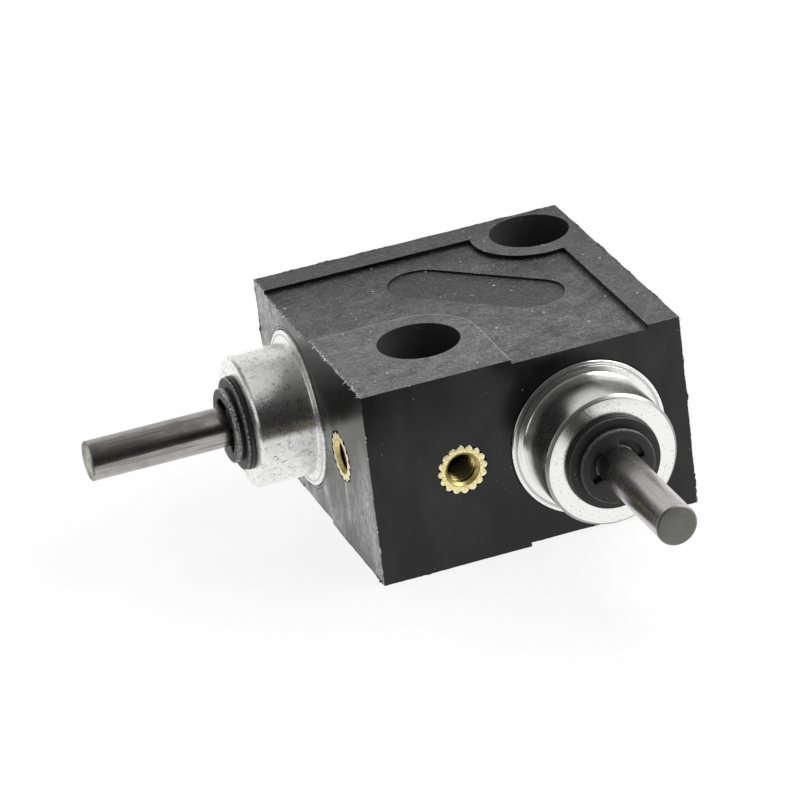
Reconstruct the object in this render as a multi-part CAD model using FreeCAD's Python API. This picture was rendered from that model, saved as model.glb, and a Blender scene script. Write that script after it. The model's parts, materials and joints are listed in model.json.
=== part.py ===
import FreeCAD
import Part
import math
import os

# Right angle gearbox. The origin is midway between the two mounting holes, on the base plane, +Z up.
# The input shaft leaves the block along -X and the output shaft along -Y. All lengths are in mm.

# Shafts
shaft_r = 2.5
shaft_reach = 27.0
shaft_chamfer = 0.2
shaft_clearance = 0.03
end_float = 0.04

# Bearing housings and bushes
boss_r = 8.25
boss_reach = 7.5
boss_chamfer = 0.35
boss_root = 0.25
flange_width = 1.5
flange_seat = 1.2
flange_proud = 0.3
flange_gap = 0.1
flange_lip = 0.42
flange_groove_width = 0.3
flange_groove_depth = 0.07
bush_r = 4.5
bush_length = 7.0

# Washers and clips, from the bearing housing outwards
washer_r = 5.85
washer_clearance = 0.08
thrust_washer_t = 0.5
spacer_washer_t = 0.4
spacer_washer_step = 0.1
shim_t = 0.35
shim_step = 0.25
clip_t = 0.7
clip_groove_depth = 0.5
clip_groove_play = 0.03
clip_lug = 1.4
clip_band = 1.25
clip_mouth = 3.2
clip_lug_half_angle = 24.0
clip_pocket_angle = 74.0
gear_washer_t = 0.5

# Mitre gears
gear_teeth = 14
gear_room = 0.543
gear_face_share = 1 / 3
gear_backlash = 0.12
pressure_angle = 20.0
tooth_dedendum = 1.2
flank_steps = 3
hub_length = 3.8
hub_step = 0.65
pin_r = 0.75
pin_inset = 0.2

# Moulded block
mount_hole_r = 5.0
near_wall = 6.25
far_wall = 0.75
bore_wall = 2.7
side_wall = 2.95
cover_wall = 2.4
recess_depth = 0.5
rim_width = 4.0
pad_wall = 2.45
plaque_length = 23.0
plaque_width = 8.2
plaque_depth = 0.2

# Threaded inserts
insert_hole_r = 1.65
insert_mouth_r = 2.1
insert_tip_r = 3.1
insert_knurl_depth = 0.4
insert_teeth = 16
insert_tip_share = 0.3
insert_floor = 0.95

# Gear proportions, on mitre cones whose apex is where the two shaft axes cross
pitch_cone = math.radians(45)
gear_tip_r = boss_r - gear_room
module = gear_tip_r / (gear_teeth / 2 + math.cos(pitch_cone))
pitch_r = module * gear_teeth / 2
cone_distance = pitch_r / math.sin(pitch_cone)
tip_cone = pitch_cone + math.atan(module / cone_distance)
root_cone = pitch_cone - math.atan(tooth_dedendum * module / cone_distance)
base_cone = math.asin(math.sin(pitch_cone) * math.cos(math.radians(pressure_angle)))
heel_sum = 2 * pitch_r
toe_sum = heel_sum * (1 - gear_face_share)

# Places along a shaft, measured outwards from the apex
gear_toe = toe_sum / (1 + math.tan(root_cone))
gear_heel = heel_sum / (1 + math.tan(root_cone))
toe_tip = toe_sum / (1 + math.tan(tip_cone))
hub_r = gear_heel * math.tan(root_cone) - hub_step
hub_back = gear_heel + hub_length
gear_washer_start = hub_back + end_float
sleeve_start = gear_washer_start + gear_washer_t
face_place = near_wall + 2 * mount_hole_r + bore_wall + boss_r
boss_end = face_place + boss_reach
spacer_start = boss_end + thrust_washer_t + end_float
shim_start = spacer_start + spacer_washer_t
clip_start = shim_start + shim_t
shaft_end = face_place + shaft_reach

# Block outline, in the part's own frame
flange_r = boss_r + flange_width
seat_r = flange_r + flange_gap
block_side = face_place + seat_r + side_wall
block_height = 2 * (seat_r + cover_wall)
mid_height = block_height / 2
hole_offset = (block_side - near_wall - far_wall - 2 * mount_hole_r) / 2
near_face = -hole_offset - mount_hole_r - near_wall
far_face = near_face + block_side
axis_place = near_face + face_place
pad_r = mount_hole_r + pad_wall
insert_length = near_wall - insert_floor

origin = FreeCAD.Vector(0, 0, 0)
x_axis = FreeCAD.Vector(1, 0, 0)
y_axis = FreeCAD.Vector(0, 1, 0)
z_axis = FreeCAD.Vector(0, 0, 1)
apex = FreeCAD.Vector(axis_place, axis_place, mid_height)
near_hole = FreeCAD.Vector(-hole_offset, -hole_offset, 0)
far_hole = FreeCAD.Vector(hole_offset, hole_offset, 0)

# Each shaft's outward direction, the direction from its axis to the tooth mesh, and its clip's turn
shaft_lines = {
    "input": {"outward": -x_axis, "mesh": -y_axis, "tooth_turn": 0.0, "clip_turn": 40.0},
    "output": {"outward": -y_axis, "mesh": -x_axis, "tooth_turn": 0.5, "clip_turn": -73.0},
}


def frame_at(point, outward, sideways):
    turn = FreeCAD.Rotation(sideways, outward.cross(sideways), outward, "ZXY")
    return FreeCAD.Placement(point, turn)


def placed(shape, placement):
    moved = shape.copy()
    moved.Placement = placement.multiply(moved.Placement)
    return moved


def turned(outline):
    points = [FreeCAD.Vector(r, 0, place) for r, place in outline]
    return Part.Face(Part.makePolygon(points + points[:1])).revolve(origin, z_axis, 360)


def cylinder(r, start, end):
    return Part.makeCylinder(r, end - start, FreeCAD.Vector(0, 0, start))


def ring(outer_r, inner_r, start, end):
    return cylinder(outer_r, start, end).cut(cylinder(inner_r, start, end))


def prism(points, start, end):
    corners = [FreeCAD.Vector(x, y, start) for x, y in points]
    face = Part.Face(Part.makePolygon(corners + corners[:1]))
    return face.extrude(FreeCAD.Vector(0, 0, end - start))


def box(x_range, y_range, z_range):
    sizes = [high - low for low, high in (x_range, y_range, z_range)]
    return Part.makeBox(*sizes, FreeCAD.Vector(x_range[0], y_range[0], z_range[0]))


# Mitre gear

def involute_turn(cone):
    roll = math.acos(math.cos(cone) / math.cos(base_cone))
    return roll / math.sin(base_cone) - math.acos(math.tan(base_cone) / math.tan(cone))


def half_tooth(cone):
    at_pitch = math.pi / (2 * gear_teeth) - gear_backlash / (4 * pitch_r)
    return at_pitch + involute_turn(pitch_cone) - involute_turn(cone)


def tooth_flank():
    flank = [(math.tan(root_cone), half_tooth(base_cone))]
    for step in range(flank_steps + 1):
        cone = base_cone + (tip_cone - base_cone) * step / flank_steps
        flank.append((math.tan(cone), half_tooth(cone)))
    return flank


def toothed_section(place, tooth_turn):
    flank = tooth_flank()
    tooth = [(slope, -turn) for slope, turn in flank] + [(slope, turn) for slope, turn in reversed(flank)]
    points = []
    for index in range(gear_teeth):
        middle = 2 * math.pi * (index + tooth_turn) / gear_teeth
        for slope, turn in tooth:
            x = place * slope * math.cos(middle + turn)
            y = place * slope * math.sin(middle + turn)
            points.append(FreeCAD.Vector(x, y, place))
    return points


def end_section(cone_sum, place, tooth_turn):
    corner_r = (cone_sum - place) / math.cos(math.pi / gear_teeth)
    points = []
    for index in range(gear_teeth):
        turn = 2 * math.pi * (index + tooth_turn + 0.5) / gear_teeth
        points.append(FreeCAD.Vector(corner_r * math.cos(turn), corner_r * math.sin(turn), place))
    return points


def frustum(near, far):
    faces = [Part.Face(Part.makePolygon(ends + ends[:1])) for ends in (near, far)]
    for index in range(len(near)):
        side = [near[index - 1], near[index], far[index], far[index - 1]]
        faces.append(Part.Face(Part.makePolygon(side + side[:1])))
    return Part.Solid(Part.Shell(faces))


def gear(tooth_turn):
    apex_side = toe_tip / 2
    teeth = frustum(toothed_section(apex_side, tooth_turn), toothed_section(hub_back, tooth_turn))
    heel = frustum(end_section(heel_sum, 0, tooth_turn), end_section(heel_sum, gear_heel, tooth_turn))
    toe = frustum(end_section(toe_sum, 0, tooth_turn), end_section(toe_sum, gear_toe, tooth_turn))
    hub = cylinder(hub_r, gear_heel, hub_back)
    solid = teeth.common(heel).cut(toe).fuse(hub).removeSplitter()
    return solid.cut(cylinder(shaft_r, gear_toe, hub_back)).cut(pin_hole())


def pin_hole():
    start = FreeCAD.Vector(0, -hub_r, (gear_heel + hub_back) / 2)
    return Part.makeCylinder(pin_r, 2 * hub_r, start, y_axis)


def gear_pin():
    length = 2 * (hub_r - pin_inset)
    start = FreeCAD.Vector(0, -length / 2, (gear_heel + hub_back) / 2)
    return Part.makeCylinder(pin_r, length, start, y_axis)


# Shaft and the pieces around it

def shaft():
    groove_r = shaft_r - clip_groove_depth
    groove_start = clip_start - clip_groove_play
    groove_end = clip_start + clip_t + clip_groove_play
    bar = turned([
        (0, gear_toe),
        (shaft_r, gear_toe),
        (shaft_r, groove_start),
        (groove_r, groove_start),
        (groove_r, groove_end),
        (shaft_r, groove_end),
        (shaft_r, shaft_end - shaft_chamfer),
        (shaft_r - shaft_chamfer, shaft_end),
        (0, shaft_end),
    ])
    return bar.cut(pin_hole())


def flange_groove(flange_front):
    outer_r = flange_r - flange_lip
    inner_r = outer_r - flange_groove_width
    floor = flange_front - flange_groove_depth
    return [
        (outer_r, flange_front),
        (outer_r - flange_groove_depth, floor),
        (inner_r + flange_groove_depth, floor),
        (inner_r, flange_front),
    ]


def bearing_housing():
    flange_back = face_place - flange_seat
    flange_front = face_place + flange_proud
    return turned([
        (bush_r, sleeve_start),
        (boss_r, sleeve_start),
        (boss_r, flange_back),
        (flange_r, flange_back),
        (flange_r, flange_front),
        *flange_groove(flange_front),
        (boss_r + boss_root, flange_front),
        (boss_r, flange_front + boss_root),
        (boss_r, boss_end - boss_chamfer),
        (boss_r - boss_chamfer, boss_end),
        (bush_r, boss_end),
    ])


def e_clip(clip_turn):
    groove_r = shaft_r - clip_groove_depth
    pocket_r = groove_r + clip_lug
    clip_r = pocket_r + clip_band
    clip_end = clip_start + clip_t
    clip = ring(clip_r, groove_r, clip_start, clip_end)
    start = FreeCAD.Vector(0, 0, clip_start)
    pocket = Part.makeCylinder(pocket_r, clip_t, start, z_axis, clip_pocket_angle)
    for start_turn in (clip_lug_half_angle, -clip_lug_half_angle - clip_pocket_angle):
        clip = clip.cut(pocket.copy().rotate(origin, z_axis, start_turn))
    mouth = box((-clip_r, 0), (-clip_mouth / 2, clip_mouth / 2), (clip_start, clip_end))
    return clip.cut(mouth).rotate(origin, z_axis, clip_turn)


# Threaded insert, with its outer face at height 0 and its body below

def insert_outside():
    root_r = insert_tip_r - insert_knurl_depth
    half_tip = insert_tip_share / 2
    points = []
    for index in range(insert_teeth):
        for r, share in ((root_r, -0.5), (insert_tip_r, -half_tip), (insert_tip_r, half_tip)):
            turn = 2 * math.pi * (index + share) / insert_teeth
            points.append((r * math.cos(turn), r * math.sin(turn)))
    return prism(points, -insert_length, 0)


def insert():
    mouth_depth = insert_mouth_r - insert_hole_r
    bore = turned([
        (0, -insert_length),
        (insert_hole_r, -insert_length),
        (insert_hole_r, -mouth_depth),
        (insert_mouth_r, 0),
        (0, 0),
    ])
    return insert_outside().cut(bore)


insert_places = {
    "left_insert": frame_at(FreeCAD.Vector(near_face, -hole_offset, mid_height), -x_axis, -y_axis),
    "front_insert": frame_at(FreeCAD.Vector(-hole_offset, near_face, mid_height), -y_axis, -x_axis),
}


# Moulded block

def block_core():
    span = (near_face, far_face)
    return box(span, span, (recess_depth, block_height - recess_depth))


def corner_pad():
    pad_edge = -hole_offset + pad_r
    bend = -hole_offset + pad_r * math.sqrt(0.5)
    corners = [
        FreeCAD.Vector(-hole_offset, pad_edge, 0),
        FreeCAD.Vector(near_face, pad_edge, 0),
        FreeCAD.Vector(near_face, near_face, 0),
        FreeCAD.Vector(pad_edge, near_face, 0),
        FreeCAD.Vector(pad_edge, -hole_offset, 0),
    ]
    round_corner = Part.Arc(corners[-1], FreeCAD.Vector(bend, bend, 0), corners[0]).toShape()
    outline = Part.Wire(Part.makePolygon(corners).Edges + [round_corner])
    return Part.Face(outline).extrude(FreeCAD.Vector(0, 0, block_height))


def back_rim():
    span = (near_face, far_face)
    height = (0, block_height)
    inner = far_face - rim_width
    rim = box(span, (inner, far_face), height).fuse(box((inner, far_face), span, height))
    boss = Part.makeCylinder(pad_r, block_height, far_hole).common(box(span, span, height))
    return rim.fuse(boss)


def shaft_bore():
    bore_end = toe_tip - gear_room
    seat_start = face_place - flange_seat
    return cylinder(boss_r, bore_end, face_place).fuse(cylinder(seat_r, seat_start, face_place))


def plaque():
    floor = block_height - recess_depth - plaque_depth
    half_width = plaque_width / 2
    half_run = plaque_length / 2 - half_width
    pill = box((-half_run, half_run), (-half_width, half_width), (floor, block_height))
    for end in (-half_run, half_run):
        round_end = cylinder(half_width, floor, block_height)
        pill = pill.fuse(round_end.translate(FreeCAD.Vector(end, 0, 0)))
    return pill.removeSplitter().rotate(origin, z_axis, -45)


def housing():
    block = block_core().fuse([corner_pad(), back_rim()]).removeSplitter()
    for hole in (near_hole, far_hole):
        block = block.cut(Part.makeCylinder(mount_hole_r, block_height, hole))
    for line in shaft_lines.values():
        block = block.cut(placed(shaft_bore(), frame_at(apex, line["outward"], line["mesh"])))
    for place in insert_places.values():
        block = block.cut(placed(insert_outside(), place))
    return block.cut(plaque())


def shaft_line_parts(line):
    bush_bore_r = shaft_r + shaft_clearance
    washer_bore_r = shaft_r + washer_clearance
    spacer_r = washer_r - spacer_washer_step
    clip_r = shaft_r - clip_groove_depth + clip_lug + clip_band
    return {
        "bearing_housing": bearing_housing(),
        "outer_bush": ring(bush_r, bush_bore_r, boss_end - bush_length, boss_end),
        "inner_bush": ring(bush_r, bush_bore_r, sleeve_start, sleeve_start + bush_length),
        "thrust_washer": ring(washer_r, washer_bore_r, boss_end, boss_end + thrust_washer_t),
        "spacer_washer": ring(spacer_r, washer_bore_r, spacer_start, shim_start),
        "shim": ring(clip_r - shim_step, washer_bore_r, shim_start, clip_start),
        "e_clip": e_clip(line["clip_turn"]),
        "shaft": shaft(),
        "gear": gear(line["tooth_turn"]),
        "gear_pin": gear_pin(),
        "gear_washer": ring(hub_r, washer_bore_r, gear_washer_start, sleeve_start),
    }


def build():
    parts = {"housing": housing()}
    for name, place in insert_places.items():
        parts[name] = placed(insert(), place)
    for line_name, line in shaft_lines.items():
        place = frame_at(apex, line["outward"], line["mesh"])
        for part_name, shape in shaft_line_parts(line).items():
            parts[line_name + "_" + part_name] = placed(shape, place)
    return parts


os.makedirs("parts", exist_ok=True)
for node, shape in build().items():
    shape.exportStep("parts/" + node + ".step")
    print(node, len(shape.Solids), shape.isValid(), round(shape.Volume, 3))
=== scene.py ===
import bmesh
import bpy
import json
import math
from functools import partial, reduce
from mathutils import Matrix, Vector, noise


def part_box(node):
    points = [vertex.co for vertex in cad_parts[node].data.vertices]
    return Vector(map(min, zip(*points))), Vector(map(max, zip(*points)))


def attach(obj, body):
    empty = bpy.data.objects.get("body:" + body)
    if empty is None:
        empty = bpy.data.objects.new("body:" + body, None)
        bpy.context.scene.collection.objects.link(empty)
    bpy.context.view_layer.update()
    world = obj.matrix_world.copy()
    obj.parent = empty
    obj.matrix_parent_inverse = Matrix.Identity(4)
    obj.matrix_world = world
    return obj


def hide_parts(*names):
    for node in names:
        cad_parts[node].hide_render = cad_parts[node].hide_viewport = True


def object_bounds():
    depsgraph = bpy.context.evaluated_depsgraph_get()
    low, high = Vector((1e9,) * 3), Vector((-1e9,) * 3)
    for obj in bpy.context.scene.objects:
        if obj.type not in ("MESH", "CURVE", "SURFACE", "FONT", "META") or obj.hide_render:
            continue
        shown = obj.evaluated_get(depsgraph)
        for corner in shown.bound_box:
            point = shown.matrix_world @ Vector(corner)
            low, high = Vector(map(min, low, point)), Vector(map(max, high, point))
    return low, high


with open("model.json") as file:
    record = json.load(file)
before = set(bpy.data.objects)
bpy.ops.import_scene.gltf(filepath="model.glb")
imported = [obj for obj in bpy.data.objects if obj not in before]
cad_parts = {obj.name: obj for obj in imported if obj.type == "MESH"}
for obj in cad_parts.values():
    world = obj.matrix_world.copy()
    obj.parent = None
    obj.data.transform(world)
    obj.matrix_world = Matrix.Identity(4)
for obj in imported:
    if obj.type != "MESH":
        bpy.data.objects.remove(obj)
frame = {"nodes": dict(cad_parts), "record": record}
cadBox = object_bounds()
mm = 0.001
print("frame loaded:", len(frame["nodes"]), "nodes")

# Pieces are modelled in mm along Z, measured outwards from where the two shaft axes cross.
apex = Vector(frame["record"]["behaviour"]["joints"][0]["pos_m"])
shaftLines = {
    "input": {"axis": "X", "outward": Vector((-1, 0, 0)), "sideways": Vector((0, -1, 0))},
    "output": {"axis": "Y", "outward": Vector((0, -1, 0)), "sideways": Vector((-1, 0, 0))},
}


def turnOf(line):
    outward, sideways = line["outward"], line["sideways"]
    return Matrix((sideways, outward.cross(sideways), outward)).transposed()


def placeAt(point, line):
    return Matrix.Translation(point) @ turnOf(line).to_4x4() @ Matrix.Scale(mm, 4)


def spanOf(node, line):
    ends = [(corner - apex).dot(line["outward"]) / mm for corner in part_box(node)]
    return min(ends), max(ends)


def radiusOf(node):
    low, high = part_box(node)
    return (high.z - low.z) / 2 / mm


blockLow, blockHigh = [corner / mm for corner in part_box("housing")]
axisPlace = apex / mm
facePlace = axisPlace.x - blockLow.x


# Node helpers: a new node goes into the tree of the socket that feeds it

def newNode(tree, kind, values=None, **settings):
    node = tree.nodes.new(kind)
    for key, value in settings.items():
        setattr(node, key, value)
    for socket, value in (values or {}).items():
        if isinstance(value, bpy.types.NodeSocket):
            tree.links.new(value, node.inputs[socket])
        else:
            node.inputs[socket].default_value = value
    return node


def calc(operation, *values):
    tree = next(value.id_data for value in values if isinstance(value, bpy.types.NodeSocket))
    return newNode(tree, "ShaderNodeMath", dict(enumerate(values)), operation=operation).outputs[0]


def calcAll(operation, *values):
    return reduce(partial(calc, operation), values)


times, most, least = [partial(calcAll, name) for name in ("MULTIPLY", "MAXIMUM", "MINIMUM")]
plus, minus, timesPlus = [partial(calc, name) for name in ("ADD", "SUBTRACT", "MULTIPLY_ADD")]
isNear, isOver, isUnder = [partial(calc, name) for name in ("COMPARE", "GREATER_THAN", "LESS_THAN")]


def remap(value, low, high, newLow, newHigh):
    values = {0: value, 1: low, 2: high, 3: newLow, 4: newHigh}
    return newNode(value.id_data, "ShaderNodeMapRange", values).outputs[0]


def blendColor(share, first, second):
    values = {0: share, 6: first, 7: second}
    return newNode(share.id_data, "ShaderNodeMix", values, data_type="RGBA").outputs[2]


def grey(level):
    return (level, level, level, 1)


def axesOf(vector):
    return newNode(vector.id_data, "ShaderNodeSeparateXYZ", {0: vector}).outputs


def joined(first, second):
    return newNode(first.id_data, "ShaderNodeCombineXYZ", {0: first, 1: second}).outputs[0]


def vectorMath(operation, vector, values=None):
    values = {0: vector, **(values or {})}
    return newNode(vector.id_data, "ShaderNodeVectorMath", values, operation=operation).outputs


def distanceFrom(first, second, place):
    offset = joined(minus(first, place[0]), minus(second, place[1]))
    return vectorMath("LENGTH", offset)["Value"]


def mapped(vector, **values):
    return newNode(vector.id_data, "ShaderNodeMapping", {"Vector": vector, **values}).outputs[0]


def noiseField(vector, scale, detail, roughness=0.5, distortion=0.0):
    values = {"Scale": scale, "Detail": detail, "Roughness": roughness, "Distortion": distortion}
    return newNode(vector.id_data, "ShaderNodeTexNoise", {"Vector": vector, **values}).outputs[0]


def cellField(vector, scale):
    # how far the nearest cell's middle is, and three random numbers for that cell
    cells = newNode(vector.id_data, "ShaderNodeTexVoronoi", {"Vector": vector, "Scale": scale}).outputs
    lot = newNode(vector.id_data, "ShaderNodeSeparateColor", {0: cells["Color"]}).outputs
    return cells["Distance"], lot


def feed(node, socket, value):
    node.id_data.links.new(value, node.inputs[socket])


def newGroup(name, inputs, outputs):
    tree = bpy.data.node_groups.new(name, "ShaderNodeTree")
    tree.interface.new_socket("Vector", in_out="INPUT", socket_type="NodeSocketVector")
    for direction, sockets in (("INPUT", inputs), ("OUTPUT", outputs)):
        for socket in sockets:
            tree.interface.new_socket(socket, in_out=direction, socket_type="NodeSocketFloat")
    return tree, tree.nodes.new("NodeGroupInput").outputs, tree.nodes.new("NodeGroupOutput")


def placeGroup(group, vector, **values):
    values["Vector"] = vector
    return newNode(vector.id_data, "ShaderNodeGroup", values, node_tree=group).outputs


# Shared effects

def makeSpecks():
    # small round spots in a random share of cells: dust, pits
    tree, inside, outside = newGroup("specks", ["Cells", "Share", "Size"], ["Mask"])
    distance, lot = cellField(inside["Vector"], inside["Cells"])
    size = times(inside["Size"], plus(lot[1], 0.25))
    spot = remap(calc("DIVIDE", distance, size), 0.6, 1.0, 1.0, 0.0)
    feed(outside, "Mask", times(isUnder(lot[0], inside["Share"]), spot))
    return tree


def makeGrain():
    # fine uneven surface with a softer, larger cloud over it
    tree, inside, outside = newGroup("grain", ["Scale"], ["Fine", "Cloud"])
    feed(outside, "Fine", noiseField(inside["Vector"], inside["Scale"], 4.0, 0.6))
    feed(outside, "Cloud", noiseField(inside["Vector"], times(inside["Scale"], 0.06), 3.0))
    return tree


def makeTurning():
    # rings left by a lathe: round the axis on faces and along it on cylinders
    tree, inside, outside = newGroup("turning", ["Lines"], ["Height", "Radius"])
    first, second, along = axesOf(inside["Vector"])
    radius = vectorMath("LENGTH", joined(first, second))["Value"]
    feed(outside, "Height", noiseField(joined(radius, along), inside["Lines"], 3.0, 0.7))
    feed(outside, "Radius", radius)
    return tree


def makeScratches():
    # short straight ticks, mostly upright
    tree, inside, outside = newGroup("scratches", ["Cells", "Share"], ["Mask"])
    turned = mapped(inside["Vector"], Rotation=(0.0, 0.35, 0.0), Scale=(1.0, 1.0, 0.14))
    distance, lot = cellField(turned, inside["Cells"])
    tick = remap(distance, 0.05, 0.1, 1.0, 0.0)
    feed(outside, "Mask", times(isUnder(lot[2], inside["Share"]), tick))
    return tree


def makeRimWear():
    # bright wear near a given radius, broken up by noise
    tree, inside, outside = newGroup("rimWear", ["Radius", "Edge", "Width"], ["Mask"])
    start = minus(inside["Edge"], inside["Width"])
    rim = remap(inside["Radius"], start, inside["Edge"], 0.0, 1.0)
    broken = remap(noiseField(inside["Vector"], 5.0, 5.0, 0.65), 0.42, 0.6, 0.0, 1.0)
    feed(outside, "Mask", times(rim, broken))
    return tree


def makeVeins():
    # short crooked lines, in patches: shrink marks in the moulding, worm-like pits in the metal
    tree, inside, outside = newGroup("veins", ["Scale"], ["Mask"])
    field = noiseField(inside["Vector"], inside["Scale"], 4.0, distortion=0.8)
    line = remap(calc("ABSOLUTE", minus(field, 0.5)), 0.012, 0.05, 1.0, 0.0)
    patches = noiseField(inside["Vector"], times(inside["Scale"], 0.7), 3.0)
    feed(outside, "Mask", times(line, remap(patches, 0.48, 0.58, 0.0, 1.0)))
    return tree


specks, grain, turning = makeSpecks(), makeGrain(), makeTurning()
scratches, rimWear, veins = makeScratches(), makeRimWear(), makeVeins()
print("shared effects made")


# Materials

def newMaterial(name, **constants):
    material = bpy.data.materials.new(name)
    material.use_nodes = True
    shader = material.node_tree.nodes["Principled BSDF"]
    for socket, value in constants.items():
        shader.inputs[socket.replace("_", " ")].default_value = value
    return material, shader


def coordinates(shader, line=None, centre=apex):
    # Object coordinates in mm; with a shaft line, along and round the axis through the centre
    values = {"Scale": (1 / mm, 1 / mm, 1 / mm)}
    if line:
        back = turnOf(line).transposed()
        values["Rotation"] = back.to_euler("XYZ")
        values["Location"] = -(back @ centre) / mm
    return mapped(newNode(shader.id_data, "ShaderNodeTexCoord").outputs["Object"], **values)


def bump(shader, height, strength, distance):
    values = {"Height": height, "Strength": strength, "Distance": distance * mm}
    feed(shader, "Normal", newNode(shader.id_data, "ShaderNodeBump", values).outputs[0])


polymerLook = {
    "black": 0.003, "smudge": 0.014, "recessGrey": 0.058, "plaqueGrey": 0.022, "padGrey": 0.077,
    "boreGrey": 0.05, "sideDust": 0.2, "dustAndGlintGrey": 0.65, "edgeHighlightGrey": 0.3, "pitGrey": 0.002,
    "sideRoughness": 0.2, "recessRoughness": 0.33, "padRoughness": 0.37,
    "recessDepth": 0.5, "plaqueDepth": 0.2, "planeBand": 0.03, "sideGap": 0.005,
    "holePlaces": ((-11.5, -11.5), (11.5, 11.5)), "holeRadius": 5.0, "padRadius": 7.45, "edgeWidth": 0.12,
    "rimPlace": 12.5, "rimEdge": 13.25, "rimShade": 0.42, "footWidth": 0.7, "footShade": 0.8,
    "plaqueTurn": math.radians(45), "plaqueRun": 7.4, "plaqueRadius": 4.1,
    "witnessRadius": 10.17, "witnessWidth": 0.06, "markShade": 0.7, "tickShade": 0.7,
    "plaqueBack": (-2.0, 2.0, 0.0, 1.0), "backFade": (-14.0, 16.0, 1.25, 0.4),
    "filmLow": (9.0, 19.0, 1.0, 0.0), "filmBack": (2.0, 11.0, 0.0, 1.0),
    "dust": {"Cells": 0.9, "Share": 0.28, "Size": 0.13},
    "pits": {"Cells": 1.3, "Share": 0.3, "Size": 0.16},
    "ticks": {"Cells": 0.8, "Share": 0.1},
}


def levelMasks(place):
    # the recess floor, the plaque sunk in it, and the raised pad and rim, clear of the side faces
    look = polymerLook
    gaps = [minus(place[axis], blockLow[axis]) for axis in (0, 1)]
    gaps += [minus(blockHigh[axis], place[axis]) for axis in (0, 1)]
    inside = isOver(least(*gaps), look["sideGap"])
    floor = blockHigh.z - look["recessDepth"]
    levels = (floor, floor - look["plaqueDepth"], blockHigh.z)
    return [times(isNear(place[2], level, look["planeBand"]), inside) for level in levels]


def witnessRing(place, left):
    # a thin line left by the mould round the input side's bearing housing
    radius = distanceFrom(place[1], place[2], (axisPlace.y, axisPlace.z))
    return times(isNear(radius, polymerLook["witnessRadius"], polymerLook["witnessWidth"]), left)


def holeWalls(place):
    radii = [distanceFrom(place[0], place[1], hole) for hole in polymerLook["holePlaces"]]
    return isNear(least(*radii), polymerLook["holeRadius"], polymerLook["planeBand"])


def paintedFootShadow(vector, place, floor, plaque):
    # painted shadow: the floor is darkened just below the rim and the pad, and the plaque just below its back
    # edge, where those steps would shade it
    look = polymerLook
    width = look["footWidth"]
    rimShadow = remap(most(place[0], place[1]), look["rimEdge"] - width, look["rimEdge"], 0.0, 1.0)
    fromHole = distanceFrom(place[0], place[1], look["holePlaces"][1])
    padShadow = remap(fromHole, look["padRadius"] + width, look["padRadius"], 0.0, 1.0)
    along, across, _ = axesOf(mapped(vector, Rotation=(0.0, 0.0, look["plaqueTurn"])))
    past = minus(calc("ABSOLUTE", along), look["plaqueRun"])
    fromMiddle = distanceFrom(most(past, 0.0), across, (0.0, 0.0))
    plaqueShadow = remap(fromMiddle, look["plaqueRadius"] - width, look["plaqueRadius"], 0.0, 1.0)
    plaqueShadow = times(plaqueShadow, remap(across, *look["plaqueBack"]), plaque)
    return most(times(most(rimShadow, padShadow), floor), plaqueShadow)


def edgeHighlights(place, pad, level, fine):
    # painted highlights: pale lines along the edge of the corner pad and the long top edge over the input
    # side, where those edges catch the light
    look = polymerLook
    corner, width = look["holePlaces"][0], look["edgeWidth"]
    spread = [most(minus(place[axis], corner[axis]), 0.0) for axis in (0, 1)]
    reach = distanceFrom(*spread, (0.0, 0.0))
    padLine = isNear(reach, look["padRadius"] - width / 2, width / 2)
    padLine = times(padLine, pad, remap(fine, 0.3, 0.6, 0.3, 1.0))
    sideLine = remap(place[0], blockLow.x, blockLow.x + 3 * width, 1.0, 0.0)
    sideLine = times(sideLine, level, remap(fine, 0.5, 0.62, 0.0, 1.0))
    return most(padLine, sideLine)


def topTone(vector, place, fine, floor, plaque):
    # the rubbed top's uneven greys, darker to the back and on the rim, with painted shadow on the floor below
    # the steps, and the crooked shrink marks in them
    look = polymerLook
    flow = mapped(vector, Rotation=(0.0, 0.0, -0.4), Scale=(0.8, 1.1, 1.0))
    mottle = noiseField(flow, 0.3, 6.0, 0.6)
    scuffs = noiseField(flow, 0.9, 6.0, 0.7)
    tone = times(remap(mottle, 0.3, 0.7, 0.6, 1.4), remap(fine, 0.3, 0.7, 0.5, 1.5))
    tone = times(tone, remap(scuffs, 0.4, 0.51, 0.62, 1.1))
    tone = calc("POWER", tone, timesPlus(most(floor, plaque), 0.35, 1.0))
    tone = times(tone, remap(place[1], *look["backFade"]))
    rim = isOver(most(place[0], place[1]), look["rimPlace"])
    # foot: painted shadow on the floor below the rim, the pad and the plaque's back edge
    foot = paintedFootShadow(vector, place, floor, plaque)
    for mask, shade in ((rim, "rimShade"), (foot, "footShade")):
        tone = times(tone, timesPlus(mask, -look[shade], 1.0))
    marks = times(placeGroup(veins, flow, Scale=1.1)[0], remap(mottle, 0.42, 0.56, 0.0, 1.0))
    return timesPlus(times(marks, tone), -look["markShade"], tone), marks


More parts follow.
